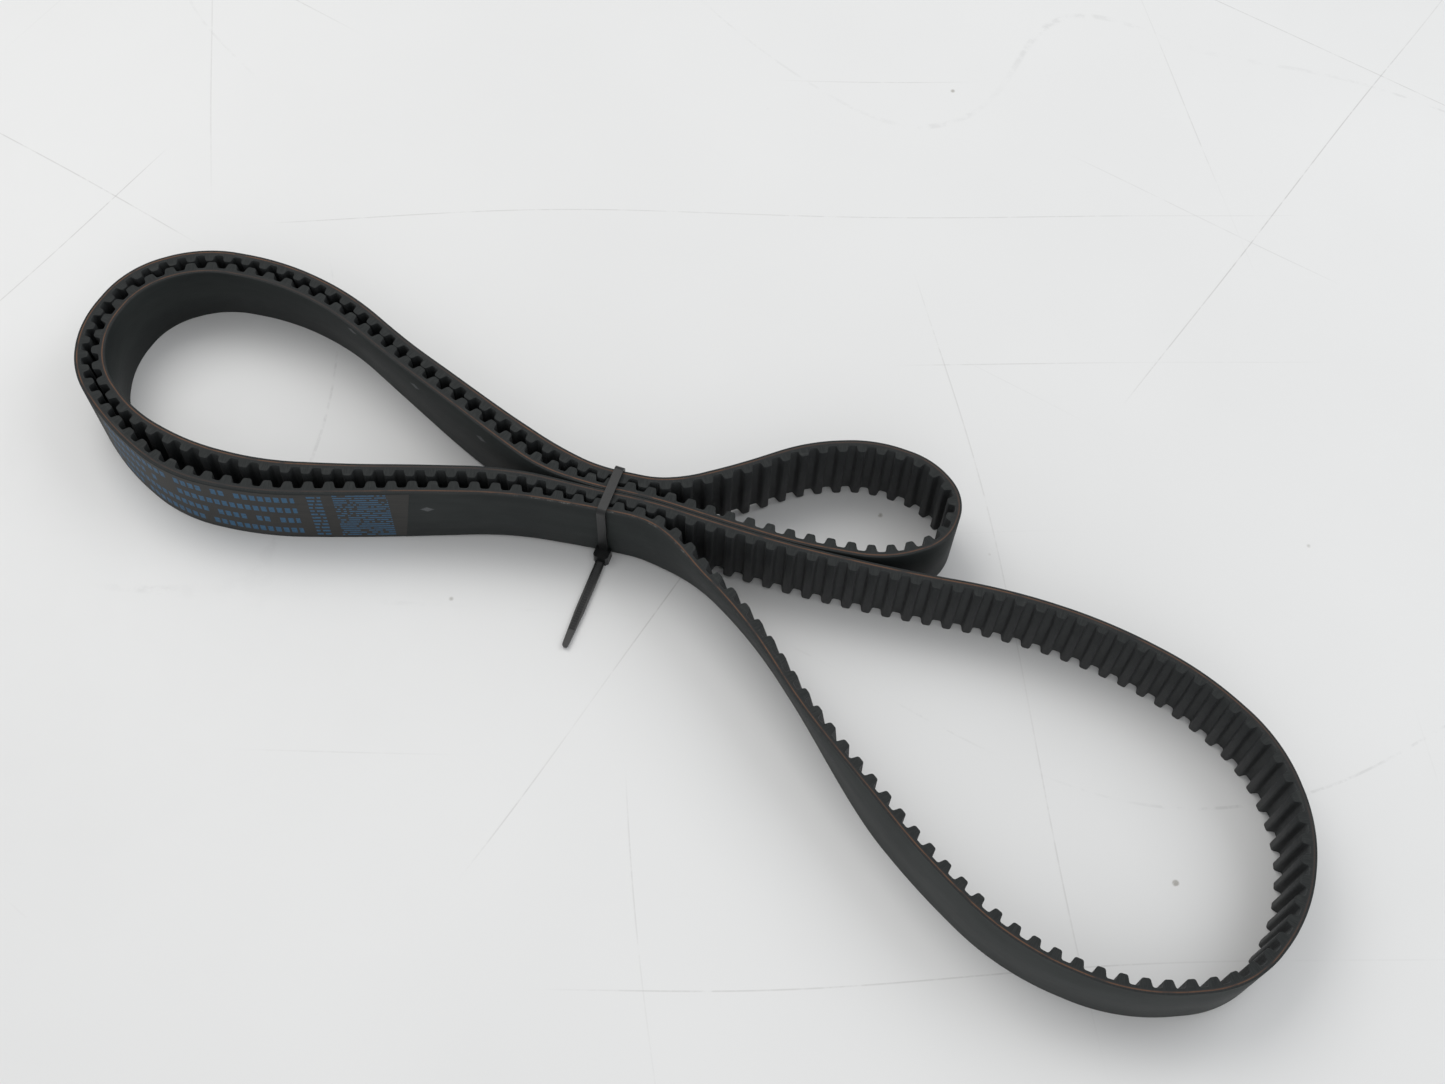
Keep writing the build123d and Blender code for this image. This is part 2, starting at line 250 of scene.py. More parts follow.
class Route:
    """The closed chain of tangent arcs and straight runs inside the given corners."""

    def __init__(self, points):
        self.pieces = []
        arcs = []
        for number, corner in enumerate(points):
            before = points[number - 1]
            after = points[(number + 1) % len(points)]
            into = direction(before, corner)
            out = direction(corner, after)
            cross = into[0] * out[1] - into[1] * out[0]
            turn = math.atan2(cross, into[0] * out[0] + into[1] * out[1])
            tangent = BEND_SHARE * min(math.dist(before, corner), math.dist(corner, after))
            start = (corner[0] - into[0] * tangent, corner[1] - into[1] * tangent)
            end = (corner[0] + out[0] * tangent, corner[1] + out[1] * tangent)
            radius = tangent / math.tan(turn / 2)
            arcs.append((start, end, math.atan2(into[1], into[0]), turn, radius))
        for number, (start, end, heading, turn, radius) in enumerate(arcs):
            next_start = arcs[(number + 1) % len(arcs)][0]
            self.pieces.append((start, heading, turn, radius, turn * radius))
            self.pieces.append((end, heading + turn, 0, 0, math.dist(end, next_start)))
        self.marks = [0]
        for piece in self.pieces:
            self.marks.append(self.marks[-1] + piece[4])
        self.length = self.marks[-1]

    def place(self, distance):
        """The point at a distance along the route, and the heading there."""
        distance %= self.length
        number = min(bisect.bisect_right(self.marks, distance) - 1, len(self.pieces) - 1)
        onward = distance - self.marks[number]
        (x, y), heading, turn, radius, length = self.pieces[number]
        if turn:
            angle = heading + onward / radius
            x += radius * (math.sin(angle) - math.sin(heading))
            y -= radius * (math.cos(angle) - math.cos(heading))
            return x, y, angle
        return x + onward * math.cos(heading), y + onward * math.sin(heading), heading

    def waist_crossing(self, corner_number):
        """The distance at which the run after a corner crosses the middle of the waist."""
        number = 2 * corner_number + 1
        x, y = self.pieces[number][0]
        return self.marks[number] + abs(x * math.cos(WAIST_ANGLE) + y * math.sin(WAIST_ANGLE))

    def crossings(self):
        """Where the four strands cross the waist: far outer, near outer, near inner, far inner."""
        near_outer = len(LEFT_LOOP) + 2
        near_inner = near_outer + len(LARGE_LOOP) + 2
        far_inner = near_inner + len(LEFT_LOOP) + 2
        return [self.waist_crossing(n) for n in (0, near_outer, near_inner, far_inner)]


def settle_route():
    """The route that is whole pitches long and whose teeth interlock at the waist."""

    def extra_pitches(slack, reach):
        marks = Route(route_points(slack, reach)).crossings()
        return ((marks[1] - marks[0]) - (marks[3] - marks[2])) / PITCH

    def all_pitches(slack, reach):
        return Route(route_points(slack, reach)).length / PITCH

    slack = 0.0
    reach = 0.0
    extra_wanted = round(extra_pitches(slack, reach))
    for attempt in range(ATTEMPTS):
        extra = extra_pitches(slack, reach)
        slope = (extra_pitches(slack + NUDGE, reach) - extra) / NUDGE
        slack -= (extra - extra_wanted) / slope
        total = all_pitches(slack, reach)
        total_wanted = round(total) if attempt == 0 else total_wanted
        slope = (all_pitches(slack, reach + NUDGE) - total) / NUDGE
        reach -= (total - total_wanted) / slope
    return Route(route_points(slack, reach)), total_wanted


def smooth(value, low, high):
    """0 below low and 1 above high, with a smooth rise between."""
    t = np.clip((np.asarray(value, float) - low) / (high - low), 0, 1)
    return t * t * (3 - 2 * t)


class Belt:
    """The belt's shape: turns places along, across and up the belt into points of the scene."""

    def __init__(self, lean, sag):
        self.route, self.teeth = settle_route()
        self.step = self.route.length / self.teeth
        marks = self.route.crossings()
        self.near_mark = marks[1]
        self.far_inner_mark = marks[3]
        self.first_tooth = (marks[0] + marks[3] - self.step / 2 - TOOTH_LEAD) / 2
        steps = OUTLINE_STEPS * self.teeth
        back = []
        for n in range(steps):
            x, y, angle = self.route.place(self.route.length * n / steps)
            back.append((x - BACK * math.sin(angle), y + BACK * math.cos(angle)))
        self.middle = (np.min(back, axis=0) + np.max(back, axis=0)) / 2
        self.lean = lean
        self.sag = sag

    def points(self, along, across, up):
        """Arrays of places on the belt, in mm, as an array of points in metres."""
        along, across, up = np.broadcast_arrays(
            *(np.asarray(a, float) for a in (along, across, up))
        )
        places = np.array([self.route.place(s) for s in along.ravel()]).reshape(*along.shape, 3)
        x, y, angle = places[..., 0], places[..., 1], places[..., 2]
        left = np.stack([-np.sin(angle), np.cos(angle)], -1)
        flat = np.stack([x, y], -1) + left * across[..., None]
        height = up / WIDTH
        # the near strand leans over where it leaves the tie on its way to the large loop
        onward = along % self.route.length - self.near_mark
        strand = smooth(onward, *LEAN_GROWS) * (1 - smooth(onward, *LEAN_FADES))
        flat -= left * (self.lean * strand * (height - LEAN_PIVOT))[..., None]
        # the left loop leans in, more on its far side
        loop = smooth(-x, *LOOP_LEAN_GROWS)
        flat[..., 0] -= LEAN_ALONG * loop * height * smooth(y, *LEAN_ALONG_GROWS)
        lean_in = NEAR_LEAN_IN - (NEAR_LEAN_IN + FAR_LEAN_IN) * smooth(y, *LEAN_IN_TURNS)
        flat[..., 1] += loop * height * lean_in
        # the tie's strap lifts the waist, and away from it the belt rests on the ground
        away = smooth(np.hypot(x, y), *SAG_GROWS)
        z = up + BELT_BOTTOM - self.sag * away
        flat -= self.middle
        return np.concatenate([flat, z[..., None]], -1) * MM


def rounded(before, corner, after, radius, steps):
    """Points round the arc of a radius that rounds a corner."""
    before, corner, after = Vector(before), Vector(corner), Vector(after)
    into = (corner - before).normalized()
    out = (after - corner).normalized()
    turn = into.angle_signed(out)
    tangent = radius * math.tan(abs(turn) / 2)
    start = corner - into * tangent
    end = corner + out * tangent
    bend = corner + (out - into).normalized() * (radius / math.cos(turn / 2))
    points = []
    for n in range(steps + 1):
        arm = (start - bend).lerp(end - bend, n / steps).normalized()
        points.append(tuple(bend + arm * radius))
    return points


def tooth_outline(belt, arc_steps):
    """Arrays of distance along and height across, all the way round the toothed side."""
    land_side = (-belt.step / 2, LAND)
    corners = [land_side, (-TOOTH_BASE / 2, LAND), (-TOOTH_TIP / 2, TIP)]
    corners += [(-u, v) for u, v in corners[::-1]]
    radii = [ROOT_RADIUS, TIP_RADIUS, TIP_RADIUS, ROOT_RADIUS]
    one = []
    for n, radius in enumerate(radii):
        one += rounded(*corners[n : n + 3], radius, arc_steps)
    one = np.array(one)
    starts = belt.first_tooth + belt.step * np.arange(belt.teeth)
    along = (starts[:, None] + one[:, 0]).ravel()
    across = np.tile(one[:, 1], belt.teeth)
    return along, across


def new_object(name, points, faces, uvs, materials, face_materials, smooth_faces):
    """A mesh object with a UV place in mm at every vertex of every face."""
    mesh = bpy.data.meshes.new(name)
    mesh.from_pydata(points.tolist(), [], faces.tolist())
    layer = mesh.uv_layers.new(name="belt")
    layer.data.foreach_set("uv", np.asarray(uvs, np.float32).ravel())
    for material in materials:
        mesh.materials.append(material)
    mesh.polygons.foreach_set("material_index", np.asarray(face_materials, np.int32))
    mesh.polygons.foreach_set("use_smooth", np.asarray(smooth_faces, bool))
    mesh.validate()
    mesh.update()
    shape = bpy.data.objects.new(name, mesh)
    bpy.context.scene.collection.objects.link(shape)
    return shape


def closed_layer(belt, name, outer, inner, low, high, edge_round, side_material, cut_material):
    """A closed ring of belt between two outlines, from one height to another.

    The outer outline's wall has small bevels at both cut edges. The inner outline's wall is plain.
    """
    along, across = outer
    count = len(along)
    toward = np.sign(np.asarray(inner) - np.mean(across))
    rows = [
        (along, across + toward * edge_round, low),
        (along, across, low + edge_round),
        (along, across, high - edge_round),
        (along, across + toward * edge_round, high),
        (along, np.full(count, float(inner)), high),
        (along, np.full(count, float(inner)), low),
    ]
    points = np.concatenate([belt.points(*row) for row in rows])
    index = np.arange(len(points)).reshape(len(rows), count)
    faces, uvs, slots, smooths = [], [], [], []
    total = belt.route.length
    step_on = np.roll(along, -1)
    step_on = np.where(step_on < along, step_on + total, step_on)
    for row in range(len(rows)):
        other = (row + 1) % len(rows)
        first, second = index[row], index[other]
        quads = np.stack([first, np.roll(first, -1), np.roll(second, -1), second], -1)
        if toward > 0:
            quads = quads[:, ::-1]
        cut = row in (3, 5)
        u = [along, step_on, step_on, along]
        if cut:
            near, far = rows[row][1], rows[other][1]
        else:
            near, far = (np.full(count, float(rows[n][2])) for n in (row, other))
        v = [near, np.roll(near, -1), np.roll(far, -1), far]
        uv = np.stack([np.stack([a, b], -1) for a, b in zip(u, v)], 1)
        if toward > 0:
            uv = uv[:, ::-1]
        faces.append(quads)
        uvs.append(uv)
        slots.append(np.full(count, 1 if cut else 0))
        smooths.append(np.full(count, not cut))
    return new_object(
        name,
        points,
        np.concatenate(faces),
        np.concatenate(uvs),
        [side_material, cut_material],
        np.concatenate(slots),
        np.concatenate(smooths),
    )


# the sockets of Blender's own nodes that are reached by number
OBJECT_OUTPUT = 3
MIX_FACTOR, MIX_FIRST, MIX_SECOND, MIX_RESULT = 0, 6, 7, 2


class Value:
    """A socket of a material's nodes, so that maths on it reads as maths."""

    def __init__(self, look, socket):
        self.look = look
        self.socket = socket

    def math(self, operation, *others, clamp=False):
        node = self.look.tree.nodes.new("ShaderNodeMath")
        node.operation = operation
        node.use_clamp = clamp
        for slot, value in zip(node.inputs, (self, *others)):
            self.look.put(slot, value)
        return Value(self.look, node.outputs[0])

    def __add__(self, other):
        return self.math("ADD", other)

    __radd__ = __add__

    def __sub__(self, other):
        return self.math("SUBTRACT", other)

    def __rsub__(self, other):
        return (self * -1.0) + other

    def __mul__(self, other):
        return self.math("MULTIPLY", other)

    __rmul__ = __mul__

    def __truediv__(self, other):
        return self.math("DIVIDE", other)

    def __gt__(self, other):
        return self.math("GREATER_THAN", other)

    def __lt__(self, other):
        return self.math("LESS_THAN", other)

    def __abs__(self):
        return self.math("ABSOLUTE")

    def between(self, low, high):
        """1 between two limits and 0 outside them."""
        return (self > low) * (self < high)

    def sin(self):
        return self.math("SINE")

    def fraction(self):
        return self.math("FRACT")

    def floor(self):
        return self.math("FLOOR")

    def clamp(self):
        return self.math("ADD", 0.0, clamp=True)

    def ramp(self, low, high):
        """0 at low and 1 at high, smoothly between, whichever is the larger."""
        node = self.look.tree.nodes.new("ShaderNodeMapRange")
        node.interpolation_type = "SMOOTHSTEP"
        self.look.put(node.inputs["Value"], self)
        node.inputs["From Min"].default_value = low
        node.inputs["From Max"].default_value = high
        return Value(self.look, node.outputs["Result"])


class Look:
    """One material, built node by node onto a principled shader.

    Its plain colour and roughness stand until a node is set in their place.
    """

    def __init__(self, name, color, roughness, **settings):
        self.material = bpy.data.materials.new(name)
        self.material.use_nodes = True
        self.tree = self.material.node_tree
        self.shader = self.tree.nodes["Principled BSDF"]
        self.set("Base Color", (*color, 1))
        self.set("Roughness", roughness)
        for key, value in settings.items():
            self.set(key.replace("_", " "), value)

    def put(self, slot, value):
        """Links a value to a slot, or sets it there if it is a plain one."""
        if isinstance(value, Value):
            self.tree.links.new(value.socket, slot)
        else:
            slot.default_value = value

    def set(self, name, value):
        """Sets or links one input of the shader."""
        self.put(self.shader.inputs[name], value)

    def node(self, kind, settings=None, inputs=None, output=0):
        """Adds any other node and returns one of its outputs."""
        node = self.tree.nodes.new(kind)
        for key, value in (settings or {}).items():
            setattr(node, key, value)
        for key, value in (inputs or {}).items():
            self.put(node.inputs[key], value)
        return Value(self, node.outputs[output])

    def place(self):
        """The place on the belt in mm: distance along, and height up or depth across."""
        return self.parts(self.node("ShaderNodeUVMap", {"uv_map": "belt"}))

    def object_place(self):
        """The place in metres in the object's own space, for what has no place on the belt."""
        return self.node("ShaderNodeTexCoord", None, None, OBJECT_OUTPUT)

    def joined(self, x, y, z=0.0):
        """A vector of three values."""
        return self.node("ShaderNodeCombineXYZ", None, {"X": x, "Y": y, "Z": z})

    def noise(self, vector, scale, detail=3.0, roughness=0.5):
        """Cloudy noise from 0 to 1 at a place."""
        inputs = {"Vector": vector, "Scale": scale, "Detail": detail, "Roughness": roughness}
        return self.node("ShaderNodeTexNoise", None, inputs)

    def chance(self, x, y):
        """One random value from 0 to 1 for each unit square of x and y."""
        inputs = {"Vector": self.joined(x.floor(), y.floor())}
        return self.node("ShaderNodeTexWhiteNoise", {"noise_dimensions": "2D"}, inputs)

    def parts(self, vector):
        """The x and y of a vector."""
        node = self.tree.nodes.new("ShaderNodeSeparateXYZ")
        self.put(node.inputs[0], vector)
        return Value(self, node.outputs[0]), Value(self, node.outputs[1])

    def mix(self, factor, first, second):
        """A colour between two colours."""
        values = []
        for value in (first, second):
            values.append(value if isinstance(value, Value) else (*value, 1))
        inputs = {MIX_FACTOR: factor, MIX_FIRST: values[0], MIX_SECOND: values[1]}
        return self.node("ShaderNodeMix", {"data_type": "RGBA"}, inputs, MIX_RESULT)

    def bump(self, height, strength, distance):
        """Bends the shader's normal by a height."""
        inputs = {"Height": height, "Strength": strength, "Distance": distance}
        self.set("Normal", self.node("ShaderNodeBump", None, inputs))


def ground_rubber(name, flecks, near_mark):
    """The back: finely ground dark rubber with streaks along it, worn edges, pale flecks and dust, and
    painted light that lightens it along the near side of the large loop.
    """
    look = Look(name, (0.012, 0.013, 0.014), 0.6, Specular_IOR_Level=0.28)
    s, z = look.place()
    place = look.joined(s, z)
    streaks = look.noise(look.joined(s * 0.05, z * 1.6), 1.0, 5.0, 0.62)
    grain = look.noise(place, 3.2, 3.0, 0.7)
    clouds = look.noise(look.joined(s * 0.03, z * 0.09), 1.0, 4.0, 0.55)
    edge = 1.0 - (z.ramp(0.1, 1.3) * (z * -1.0 + WIDTH).ramp(0.1, 1.3))
    shade = look.mix(clouds.ramp(0.3, 0.72), (0.0092, 0.0122, 0.0122), (0.0175, 0.0212, 0.0208))
    shade = look.mix(streaks.ramp(0.52, 0.8) * 0.45, shade, (0.034, 0.039, 0.039))
    shade = look.mix(edge * streaks.ramp(0.3, 0.7) * 0.5, shade, (0.042, 0.044, 0.044))
    for mark, height in flecks:
        spread = abs(s - mark) / FLECK_LENGTH + abs(z - height) / FLECK_HEIGHT
        shade = look.mix(spread.ramp(1.0, 0.55) * grain.ramp(0.3, 0.6), shade, (0.115, 0.12, 0.125))
    # painted light: the back is painted lighter along the near side of the large loop, standing in for
    # the light that falls on it there
    onward = s - near_mark
    painted_light_stretch = onward.ramp(*PAINTED_LIGHT_STARTS) * onward.ramp(*PAINTED_LIGHT_ENDS)
    shade = look.mix(painted_light_stretch * (clouds * 0.4 + 0.2), shade, (0.058, 0.063, 0.062))
    dust = look.noise(place, 1.3, 6.0, 0.78).ramp(0.66, 0.8)
    shade = look.mix(dust * 0.2, shade, (0.08, 0.083, 0.085))
    look.set("Base Color", shade)
    look.set("Roughness", 0.5 + streaks * 0.2 + dust * 0.1)
    look.bump(grain * 0.6 + streaks * 0.6, 0.35, 0.00012)
    return look.material


def cut_rubber(name, worn_place):
    """The cut edges: duller, with fine saw marks, and scuffed beside the tie."""
    look = Look(name, (0.025, 0.026, 0.027), 0.72, Specular_IOR_Level=0.25)
    s, depth = look.place()
    marks = look.noise(look.joined(s * 3.0, depth * 0.25), 1.0, 4.0, 0.6)
    clouds = look.noise(look.joined(s * 0.06, depth * 0.4), 1.0, 3.0, 0.6)
    shade = look.mix(marks.ramp(0.35, 0.75), (0.0110, 0.0130, 0.0132), (0.0270, 0.0295, 0.0292))
    shade = look.mix(clouds.ramp(0.55, 0.78) * 0.5, shade, (0.045, 0.047, 0.045))
    beside_tie = abs(s - worn_place).ramp(*SCUFFS)
    scuffs = look.noise(look.joined(s * 0.55, depth * 0.5), 1.0, 6.0, 0.72).ramp(0.5, 0.66)
    shade = look.mix(beside_tie * scuffs * 0.7, shade, (0.12, 0.118, 0.11))
    look.set("Base Color", shade)
    look.set("Roughness", 0.62 + marks * 0.2)
    look.bump(marks, 0.3, 0.00008)
    return look.material


def woven_facing(name, first_tooth, step):
    """The toothed side: black nylon twill with a soft sheen, scuffed, and painted lighter between the
    teeth, painted light that offsets the shade falling there.
    """
    look = Look(name, (0.008, 0.008, 0.009), 0.6, Specular_IOR_Level=0.3, Sheen_Weight=0.05)
    s, z = look.place()
    from_valley = abs(((s - first_tooth) / step).fraction() - 0.5)
    painted_light_valleys = from_valley.ramp(0.27, 0.15)
    warp = (s * (2 * math.pi / WARP_SPACING)).sin()
    weft = (z * (2 * math.pi / WEFT_SPACING) + s * TWILL_SLANT).sin()
    weave = (warp * weft) * 0.5 + 0.5
    wear = look.noise(look.joined(s * 0.4, z * 0.22), 1.0, 5.0, 0.65)
    shade = look.mix(weave, (0.0070, 0.0084, 0.0090), (0.0170, 0.0192, 0.0202))
    shade = look.mix(wear.ramp(0.55, 0.78) * 0.55, shade, (0.034, 0.037, 0.038))
    # painted light: the valleys between the teeth are painted lighter, offsetting the shade that falls
    # in them
    shade = look.mix(painted_light_valleys * (wear * 0.5 + 0.35), shade, (0.050, 0.054, 0.055))
    look.set("Base Color", shade)
    look.set("Roughness", 0.5 + wear * 0.25)
    look.bump(weave + wear * 0.8, 0.4, 0.00012)
    return look.material


def cord_edge(name):
    """The outermost cord where the cut has opened it: a broken line of brown glass fibre."""
    look = Look(name, (0.03, 0.03, 0.031), 0.75, Specular_IOR_Level=0.25)
    s, depth = look.place()
    wander = look.noise(look.joined(s * 0.02, 0.0), 1.0, 2.0, 0.5)
    broken = look.noise(look.joined(s * 0.09, depth * 0.6), 1.0, 5.0, 0.7)
    stretch = look.noise(look.joined(s * 0.006, 3.0), 1.0, 1.0, 0.5).ramp(0.36, 0.56)
    fine = look.noise(look.joined(s * 1.4, depth * 3.0), 1.0, 3.0, 0.6)
    line = 1.0 - abs(depth + 0.1 + (wander - 0.5) * 0.3).ramp(0.12, 0.30)
    shade = look.mix(fine, (0.014, 0.015, 0.016), (0.034, 0.035, 0.036))
    brown = look.mix(fine, (0.050, 0.024, 0.013), (0.185, 0.095, 0.055))
    shade = look.mix(line * broken.ramp(0.34, 0.54) * (stretch * 0.8 + 0.2), shade, brown)
    look.set("Base Color", shade)
    look.bump(fine, 0.3, 0.0001)
    return look.material


def cord_side(name):
    """A cord's own side, inside the belt: brown coated glass fibre, twisted."""
    look = Look(name, (0.2, 0.1, 0.06), 0.7)
    s, z = look.place()
    twist = (s * 2.1 + z * 3.0).sin() * 0.5 + 0.5
    look.set("Base Color", look.mix(twist, (0.12, 0.06, 0.035), (0.28, 0.15, 0.09)))
    look.bump(twist, 0.4, 0.0002)
    return look.material


def printed_film(name, start, end):
    """The printed band: a warm grey film with rows of blue bars, plain and without lettering."""
    look = Look(name, (0.03, 0.03, 0.029), 0.55, Specular_IOR_Level=0.3)
    s, z = look.place()
    u = s - start
    length = end - start
    place = look.joined(s, z)
    worn = look.noise(place, 0.9, 6.0, 0.7)
    streaks = look.noise(look.joined(s * 0.08, z * 1.8), 1.0, 4.0, 0.6)
    film = look.mix(streaks.ramp(0.3, 0.75), (0.022, 0.022, 0.021), (0.040, 0.038, 0.035))
    # four rows of stout bars, then a column of short marks and a block of fine rows
    row = (z - BAR_ROW_FOOT) / BAR_ROW_PITCH
    bar = u / BAR_PITCH
    printed = look.chance(bar, row) > 0.13
    long_bars = bar.fraction().between(0.16, 0.84) * printed * row.fraction().between(0.26, 0.74)
    wide_area = u.between(BARS_START, length - BARS_END)
    short_row = (z - SHORT_ROW_FOOT) / SHORT_ROW_PITCH
    short_bars = short_row.fraction().between(0.3, 0.78)
    column = u.between(length - COLUMN_START, length - COLUMN_END)
    column_gap = abs((u - (length - COLUMN_MIDDLE)) + short_row.floor().sin() * 0.9) > 0.45
    fine_row = (z - SHORT_ROW_FOOT) / FINE_ROW_PITCH
    inked = look.chance(u / DASH_PITCH, fine_row) > 0.22
    fine_bars = fine_row.fraction().between(0.3, 0.8) * inked
    block = u.between(length - BLOCK_START, length - BLOCK_END)
    ink = long_bars * wide_area + short_bars * column * column_gap + fine_bars * block
    ink = ink.clamp() * worn.ramp(0.28, 0.5) * 0.85
    blue = look.mix(worn, (0.024, 0.088, 0.175), (0.042, 0.135, 0.245))
    shade = look.mix(ink, film, blue)
    look.set("Base Color", shade)
    look.set("Roughness", 0.45 + streaks * 0.25)
    look.bump(streaks * 0.5 + ink * 0.5, 0.25, 0.00006)
    return look.material


def nylon(name):
    """The tie: black moulded nylon with a soft gloss and faint flow marks."""
    look = Look(name, (0.007, 0.0072, 0.0075), 0.3, Specular_IOR_Level=0.45)
    place = look.object_place()
    flow = look.noise(place, 260.0, 4.0, 0.6)
    scratch = look.noise(place, 1500.0, 3.0, 0.7)
    shade = look.mix(flow.ramp(0.45, 0.75), (0.0055, 0.0058, 0.006), (0.012, 0.0125, 0.013))
    look.set("Base Color", shade)
    look.set("Roughness", 0.26 + flow * 0.22)
    look.bump(scratch * 0.4 + flow * 0.6, 0.12, 0.0001)
    return look.material


def table_top(name):
    """The ground: a pale, slightly scuffed laminate."""
    look = Look(name, (0.74, 0.74, 0.74), 0.42, Specular_IOR_Level=0.3)
    place = look.object_place()
    clouds = look.noise(place, 3.0, 4.0, 0.55)
    dirt = look.noise(place, 95.0, 5.0, 0.72)
    shade = look.mix(clouds.ramp(0.25, 0.8), (0.715, 0.717, 0.715), (0.755, 0.757, 0.755))
    # faint curved rubs, where a warped noise crosses its middle value
    warped = look.noise(place, 2.2, 1.0, 0.4)
    rubs = abs(warped - 0.5).ramp(0.0011, 0.0003) * dirt.ramp(0.42, 0.6) * clouds.ramp(0.48, 0.6)
    shade = look.mix(rubs * 0.35, shade, (0.42, 0.42, 0.42))
    # long fine scratches, each set at its own slant and spacing and seen only in places
    x, y = look.parts(place)
    for slant, spacing, shift, strength in TABLE_SCRATCHES:
        across = x * math.sin(slant) + y * math.cos(slant) + (warped - 0.5) * 0.05 + shift
        line = abs((across / spacing).fraction() - 0.5) * spacing
        lot = (across / spacing).floor() * 7.3 + shift * 90.0
        onward = x * math.cos(slant) - y * math.sin(slant)
        seen = look.noise(look.joined(onward * 3.2, lot), 1.0, 2.0, 0.5).ramp(0.55, 0.64)
        scratch = line.ramp(0.00042, 0.0001) * seen * dirt.ramp(0.3, 0.55)
        shade = look.mix(scratch * strength, shade, (0.40, 0.39, 0.38))
    cells = look.node(
        "ShaderNodeTexVoronoi", {"feature": "F1"}, {"Vector": place, "Scale": 22.0}
    )
    specks = cells.ramp(0.036, 0.016) * dirt.ramp(0.40, 0.5)
    shade = look.mix(specks * 0.75, shade, (0.30, 0.28, 0.25))
    look.set("Base Color", shade)
    look.set("Roughness", 0.36 + dirt * 0.16)
    return look.material


class BeltSettings(PropertyGroup):
    """The sizes that shape the visual model."""

    lean: FloatProperty(
        name="Lean",
        description="How far the near strand's top leans out past its foot beside the tie, in mm",
        default=6.8,
        unit="NONE",
    )
    sag: FloatProperty(
        name="Sag",
        description="How far the belt drops from the tie's strap to the ground, in mm",
        default=2.2,
        unit="NONE",
    )
    spacing: FloatProperty(
        name="Spacing",
        description="The distance between points along the smooth layers, in mm",
        default=1.25,
        unit="NONE",
    )
    arc_steps: IntProperty(
        name="Arc steps",
        description="The number of steps round each corner of a tooth",
        default=4,
        subtype="UNSIGNED",
    )
    edge_round: FloatProperty(
        name="Edge rounding",
        description="The bevel at the cut edges, in mm",
        default=0.12,
        unit="NONE",
    )
    band_slant: FloatProperty(
        name="Band slant",
        description="How far the printed band's end slants over the belt's width, in mm",
        default=5.0,
        unit="NONE",
    )


class StageSettings(PropertyGroup):
    """The camera and the lights."""

    lens: FloatProperty(
        name="Lens", description="Focal length of the camera, in mm", default=42.35, unit="NONE"
    )
    pitch: FloatProperty(
        name="Pitch",
        description="How far the camera looks down",
        default=math.radians(61.6),
        subtype="ANGLE",
    )
    roll: FloatProperty(
        name="Roll",
        description="How far the camera is turned about its own axis",
        default=math.radians(3.14),
        subtype="ANGLE",
    )
    camera: FloatVectorProperty(
        name="Camera",
        description="The camera's place from the middle of the waist",
        default=(0.040, -0.325, 0.600),
        subtype="TRANSLATION",
    )
    light: FloatProperty(
        name="Light", description="Power of the main lamp, in watts", default=11.6, unit="NONE"
    )
    fill: FloatProperty(
        name="Fill", description="Strength of the light all round", default=0.63, unit="NONE"
    )


def current_belt():
    """The belt's shape for the scene's settings."""
    settings = bpy.context.scene.bundled_belt
    return Belt(settings.lean, settings.sag)


def plain_outline(belt, across, spacing):
    """An outline at one depth all the way round the route."""
    count = int(belt.route.length / spacing)
    along = np.arange(count) * belt.route.length / count
    return along, np.full(count, float(across))


class BELT_OT_back(Operator):
    """Build the smooth back of the belt"""

    bl_idname = "belt.back"
    bl_label = "Back rubber"

    def execute(self, context):
        settings = context.scene.bundled_belt
        belt = current_belt()
        flecks = [(belt.near_mark + mark, height) for mark, height in NEAR_FLECKS]
        flecks += [(belt.far_inner_mark + mark, height) for mark, height in FAR_FLECKS]
        shape = closed_layer(
            belt,
            "belt_back",
            plain_outline(belt, BACK, settings.spacing),
            -CORD,
            0.0,
            WIDTH,
            settings.edge_round,
            ground_rubber("back rubber", flecks, belt.near_mark),
            cut_rubber("cut rubber back", belt.near_mark),
        )
        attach(shape, "belt")
        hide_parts("back_rubber")
        return {"FINISHED"}


class BELT_OT_cords(Operator):
    """Build the tension cords side by side inside the belt"""

    bl_idname = "belt.cords"
    bl_label = "Tension cords"

    def execute(self, context):
        settings = context.scene.bundled_belt
        belt = current_belt()
        side = cord_side("cord side")
        edge = cord_edge("cord edge")
        step = WIDTH / CORD_COUNT
        for number in range(CORD_COUNT):
            name = f"tension_cord_{number + 1:02d}"
            shape = closed_layer(
                belt,
                "belt_" + name,
                plain_outline(belt, -CORD, settings.spacing),
                CORD,
                number * step,
                (number + 1) * step,
                0.0,
                side,
                edge,
            )
            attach(shape, "belt")
            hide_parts(name)
        return {"FINISHED"}


class BELT_OT_teeth(Operator):
    """Build the fabric-faced teeth"""

    bl_idname = "belt.teeth"
    bl_label = "Teeth"

    def execute(self, context):
        settings = context.scene.bundled_belt
        belt = current_belt()
        shape = closed_layer(
            belt,
            "belt_teeth",
            tooth_outline(belt, settings.arc_steps),
            CORD,
            0.0,
            WIDTH,
            settings.edge_round,
            woven_facing("woven facing", belt.first_tooth, belt.step),
            cut_rubber("cut rubber teeth", belt.near_mark),
        )
        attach(shape, "belt")
        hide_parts("tooth_rubber")
        return {"FINISHED"}


